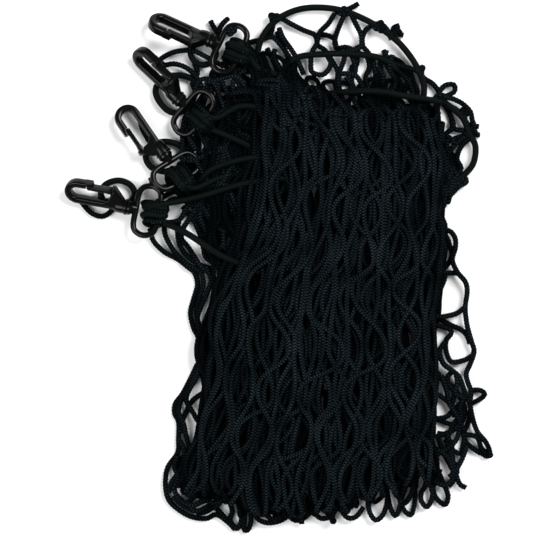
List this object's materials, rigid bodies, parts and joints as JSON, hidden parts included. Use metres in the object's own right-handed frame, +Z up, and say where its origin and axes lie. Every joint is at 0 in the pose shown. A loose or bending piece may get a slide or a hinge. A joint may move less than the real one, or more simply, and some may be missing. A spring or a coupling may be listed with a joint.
{
  "type": "folded pet barrier net",
  "caption": "Black knotless diamond net folded flat, with an elastic border cord and plastic swivel snap hooks that clip it across a car's cabin.",
  "frame": {"origin": "middle of the bounding box in X and Y, on the surface that the net lies on", "axes": "+X across the folded bundle, away from the hooks; +Y to the elastic arch; +Z up"},
  "size_m": [0.2614, 0.3279, 0.0201],
  "materials": {
    "net_cord": "braided, matt",
    "elastic": "smooth woven cover",
    "hook_plastic": "moulded, half gloss"
  },
  "bodies": {
    "bundle": {"net": "net_cord", "elastic_arch": "elastic", "elastic_inner": "elastic", "elastic_side": "elastic", "elastic_lead_1": "elastic", "hook_1_eye": "hook_plastic", "elastic_lead_2": "elastic", "hook_2_eye": "hook_plastic", "elastic_lead_3": "elastic", "hook_3_eye": "hook_plastic", "elastic_lead_4": "elastic", "hook_4_eye": "hook_plastic"},
    "hook_1": {"hook_1_body": "hook_plastic"},
    "gate_1": {"hook_1_gate": "hook_plastic"},
    "hook_2": {"hook_2_body": "hook_plastic"},
    "gate_2": {"hook_2_gate": "hook_plastic"},
    "hook_3": {"hook_3_body": "hook_plastic"},
    "gate_3": {"hook_3_gate": "hook_plastic"},
    "hook_4": {"hook_4_body": "hook_plastic"},
    "gate_4": {"hook_4_gate": "hook_plastic"}
  },
  "joints": [
    {"name": "swivel_1", "type": "hinge", "parent": "bundle", "child": "hook_1", "pos_m": [-0.04, 0.1415, 0.0082], "axis": [-0.9013, 0.4203, -0.1045], "continuous": true},
    {"name": "gate_1", "type": "hinge", "parent": "hook_1", "child": "gate_1", "pos_m": [-0.05404, 0.14007, 0.01445], "axis": [-0.2382, -0.6826, -0.6909], "range_deg": [0, 22], "stiffness_Nm_per_rad": 0.02},
    {"name": "swivel_2", "type": "hinge", "parent": "bundle", "child": "hook_2", "pos_m": [-0.06, 0.105, 0.0082], "axis": [0.7273, -0.6783, 0.1045], "continuous": true},
    {"name": "gate_2", "type": "hinge", "parent": "hook_2", "child": "gate_2", "pos_m": [-0.06487, 0.1177, 0.01548], "axis": [-0.6025, -0.5582, 0.5704], "range_deg": [0, 22], "stiffness_Nm_per_rad": 0.02},
    {"name": "swivel_3", "type": "hinge", "parent": "bundle", "child": "hook_3", "pos_m": [-0.069, 0.0705, 0.0094], "axis": [-0.5633, 0.8196, -0.1045], "continuous": true},
    {"name": "gate_3", "type": "hinge", "parent": "hook_3", "child": "gate_3", "pos_m": [-0.08397, 0.0742, 0.01], "axis": [-0.0848, -0.1832, -0.9794], "range_deg": [0, 22], "stiffness_Nm_per_rad": 0.02},
    {"name": "swivel_4", "type": "hinge", "parent": "bundle", "child": "hook_4", "pos_m": [-0.092, 0.0378, 0.0082], "axis": [0.9794, -0.1727, 0.1045], "continuous": true},
    {"name": "gate_4", "type": "hinge", "parent": "hook_4", "child": "gate_4", "pos_m": [-0.1024, 0.04796, 0.01338], "axis": [-0.188, -0.592, 0.7837], "range_deg": [0, 22], "stiffness_Nm_per_rad": 0.02}
  ]
}
